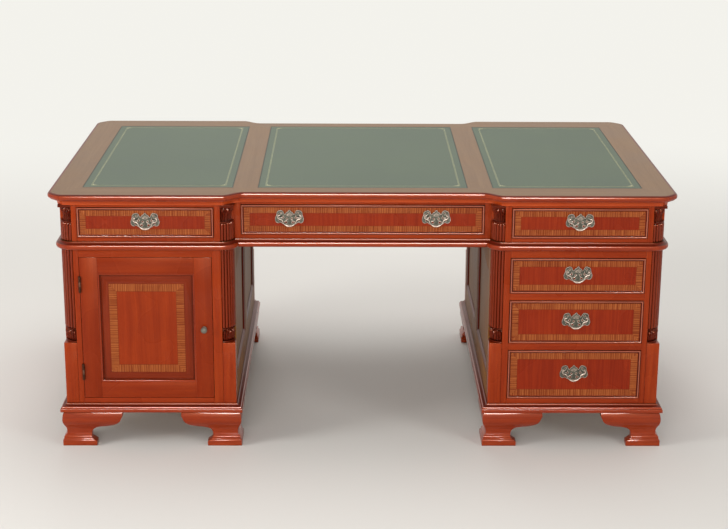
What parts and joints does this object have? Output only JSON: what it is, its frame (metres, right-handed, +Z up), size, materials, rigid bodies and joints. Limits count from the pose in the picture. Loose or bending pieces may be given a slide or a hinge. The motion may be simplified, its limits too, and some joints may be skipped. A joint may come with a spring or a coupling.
{
  "type": "partners desk",
  "caption": "Breakfront partners desk with leather insets, drawers and a cupboard to both sides, reeded corner columns and bracket feet.",
  "frame": {"origin": "on the floor under the middle of the desk", "axes": "+X to the right along the length, -Y to the side seen in the picture, +Z up"},
  "size_m": [1.83, 1.07, 0.78],
  "materials": {
    "mahogany": "gloss lacquer, crossbanded",
    "dark_mahogany": "gloss lacquer over dark stain",
    "green_leather": "satin, with a gold tooled line",
    "pewter": "antique silver plate, rubbed"
  },
  "bodies": {
    "carcass": {"top_board": "mahogany", "leather_left": "green_leather", "leather_centre": "green_leather", "leather_right": "green_leather", "frieze_carcass": "mahogany", "waist_moulding": "mahogany", "pedestal_right": "mahogany", "plinth_right": "mahogany", "foot_right_front_outer": "mahogany", "column_right_front_outer": "dark_mahogany", "foot_right_front_inner": "mahogany", "column_right_front_inner": "dark_mahogany", "foot_right_back_outer": "mahogany", "column_right_back_outer": "dark_mahogany", "foot_right_back_inner": "mahogany", "column_right_back_inner": "dark_mahogany", "pedestal_left": "mahogany", "plinth_left": "mahogany", "foot_left_front_outer": "mahogany", "column_left_front_outer": "dark_mahogany", "foot_left_front_inner": "mahogany", "column_left_front_inner": "dark_mahogany", "foot_left_back_outer": "mahogany", "column_left_back_outer": "dark_mahogany", "foot_left_back_inner": "mahogany", "column_left_back_inner": "dark_mahogany", "shelf_front": "mahogany", "shelf_back": "mahogany"},
    "drawer_front_low": {"drawer_front_low": "mahogany"},
    "bail_front_low": {"bail_front_low": "pewter"},
    "drawer_front_middle": {"drawer_front_middle": "mahogany"},
    "bail_front_middle": {"bail_front_middle": "pewter"},
    "drawer_front_high": {"drawer_front_high": "mahogany"},
    "bail_front_high": {"bail_front_high": "pewter"},
    "drawer_front_left": {"drawer_front_left": "mahogany"},
    "bail_front_left": {"bail_front_left": "pewter"},
    "drawer_front_centre": {"drawer_front_centre": "mahogany"},
    "bail_front_centre_left": {"bail_front_centre_left": "pewter"},
    "bail_front_centre_right": {"bail_front_centre_right": "pewter"},
    "drawer_front_right": {"drawer_front_right": "mahogany"},
    "bail_front_right": {"bail_front_right": "pewter"},
    "door_front": {"door_frame_front": "mahogany", "door_panel_front": "mahogany", "door_knob_front": "pewter"},
    "drawer_back_low": {"drawer_back_low": "mahogany"},
    "bail_back_low": {"bail_back_low": "pewter"},
    "drawer_back_middle": {"drawer_back_middle": "mahogany"},
    "bail_back_middle": {"bail_back_middle": "pewter"},
    "drawer_back_high": {"drawer_back_high": "mahogany"},
    "bail_back_high": {"bail_back_high": "pewter"},
    "drawer_back_right": {"drawer_back_right": "mahogany"},
    "bail_back_right": {"bail_back_right": "pewter"},
    "drawer_back_centre": {"drawer_back_centre": "mahogany"},
    "bail_back_centre_right": {"bail_back_centre_right": "pewter"},
    "bail_back_centre_left": {"bail_back_centre_left": "pewter"},
    "drawer_back_left": {"drawer_back_left": "mahogany"},
    "bail_back_left": {"bail_back_left": "pewter"},
    "door_back": {"door_frame_back": "mahogany", "door_panel_back": "mahogany", "door_knob_back": "pewter"}
  },
  "joints": [
    {"name": "slide_front_low", "type": "slide", "parent": "carcass", "child": "drawer_front_low", "axis": [0, -1, 0], "range_m": [0, 0.35]},
    {"name": "swing_front_low", "type": "hinge", "parent": "drawer_front_low", "child": "bail_front_low", "pos_m": [0.6325, -0.5122, 0.23813], "axis": [-1, 0, 0], "range_deg": [0, 90]},
    {"name": "slide_front_middle", "type": "slide", "parent": "carcass", "child": "drawer_front_middle", "axis": [0, -1, 0], "range_m": [0, 0.35]},
    {"name": "swing_front_middle", "type": "hinge", "parent": "drawer_front_middle", "child": "bail_front_middle", "pos_m": [0.6325, -0.5122, 0.40332], "axis": [-1, 0, 0], "range_deg": [0, 90]},
    {"name": "slide_front_high", "type": "slide", "parent": "carcass", "child": "drawer_front_high", "axis": [0, -1, 0], "range_m": [0, 0.35]},
    {"name": "swing_front_high", "type": "hinge", "parent": "drawer_front_high", "child": "bail_front_high", "pos_m": [0.6325, -0.5122, 0.54619], "axis": [-1, 0, 0], "range_deg": [0, 90]},
    {"name": "slide_front_left", "type": "slide", "parent": "carcass", "child": "drawer_front_left", "axis": [0, -1, 0], "range_m": [0, 0.35]},
    {"name": "swing_front_left", "type": "hinge", "parent": "drawer_front_left", "child": "bail_front_left", "pos_m": [-0.6325, -0.5122, 0.70575], "axis": [-1, 0, 0], "range_deg": [0, 90]},
    {"name": "slide_front_centre", "type": "slide", "parent": "carcass", "child": "drawer_front_centre", "axis": [0, -1, 0], "range_m": [0, 0.32]},
    {"name": "swing_front_centre_left", "type": "hinge", "parent": "drawer_front_centre", "child": "bail_front_centre_left", "pos_m": [-0.21491, -0.4742, 0.70575], "axis": [-1, 0, 0], "range_deg": [0, 90]},
    {"name": "swing_front_centre_right", "type": "hinge", "parent": "drawer_front_centre", "child": "bail_front_centre_right", "pos_m": [0.21491, -0.4742, 0.70575], "axis": [-1, 0, 0], "range_deg": [0, 90]},
    {"name": "slide_front_right", "type": "slide", "parent": "carcass", "child": "drawer_front_right", "axis": [0, -1, 0], "range_m": [0, 0.35]},
    {"name": "swing_front_right", "type": "hinge", "parent": "drawer_front_right", "child": "bail_front_right", "pos_m": [0.6325, -0.5122, 0.70575], "axis": [-1, 0, 0], "range_deg": [0, 90]},
    {"name": "hinge_front", "type": "hinge", "parent": "carcass", "child": "door_front", "pos_m": [-0.8305, -0.5074, 0.3675], "axis": [0, 0, -1], "range_deg": [0, 110]},
    {"name": "slide_back_low", "type": "slide", "parent": "carcass", "child": "drawer_back_low", "axis": [0, 1, 0], "range_m": [0, 0.35]},
    {"name": "swing_back_low", "type": "hinge", "parent": "drawer_back_low", "child": "bail_back_low", "pos_m": [-0.6325, 0.5122, 0.23813], "axis": [1, 0, 0], "range_deg": [0, 90]},
    {"name": "slide_back_middle", "type": "slide", "parent": "carcass", "child": "drawer_back_middle", "axis": [0, 1, 0], "range_m": [0, 0.35]},
    {"name": "swing_back_middle", "type": "hinge", "parent": "drawer_back_middle", "child": "bail_back_middle", "pos_m": [-0.6325, 0.5122, 0.40332], "axis": [1, 0, 0], "range_deg": [0, 90]},
    {"name": "slide_back_high", "type": "slide", "parent": "carcass", "child": "drawer_back_high", "axis": [0, 1, 0], "range_m": [0, 0.35]},
    {"name": "swing_back_high", "type": "hinge", "parent": "drawer_back_high", "child": "bail_back_high", "pos_m": [-0.6325, 0.5122, 0.54619], "axis": [1, 0, 0], "range_deg": [0, 90]},
    {"name": "slide_back_right", "type": "slide", "parent": "carcass", "child": "drawer_back_right", "axis": [0, 1, 0], "range_m": [0, 0.35]},
    {"name": "swing_back_right", "type": "hinge", "parent": "drawer_back_right", "child": "bail_back_right", "pos_m": [0.6325, 0.5122, 0.70575], "axis": [1, 0, 0], "range_deg": [0, 90]},
    {"name": "slide_back_centre", "type": "slide", "parent": "carcass", "child": "drawer_back_centre", "axis": [0, 1, 0], "range_m": [0, 0.32]},
    {"name": "swing_back_centre_right", "type": "hinge", "parent": "drawer_back_centre", "child": "bail_back_centre_right", "pos_m": [0.21491, 0.4742, 0.70575], "axis": [1, 0, 0], "range_deg": [0, 90]},
    {"name": "swing_back_centre_left", "type": "hinge", "parent": "drawer_back_centre", "child": "bail_back_centre_left", "pos_m": [-0.21491, 0.4742, 0.70575], "axis": [1, 0, 0], "range_deg": [0, 90]},
    {"name": "slide_back_left", "type": "slide", "parent": "carcass", "child": "drawer_back_left", "axis": [0, 1, 0], "range_m": [0, 0.35]},
    {"name": "swing_back_left", "type": "hinge", "parent": "drawer_back_left", "child": "bail_back_left", "pos_m": [-0.6325, 0.5122, 0.70575], "axis": [1, 0, 0], "range_deg": [0, 90]},
    {"name": "hinge_back", "type": "hinge", "parent": "carcass", "child": "door_back", "pos_m": [0.8305, 0.5074, 0.3675], "axis": [0, 0, -1], "range_deg": [0, 110]}
  ]
}
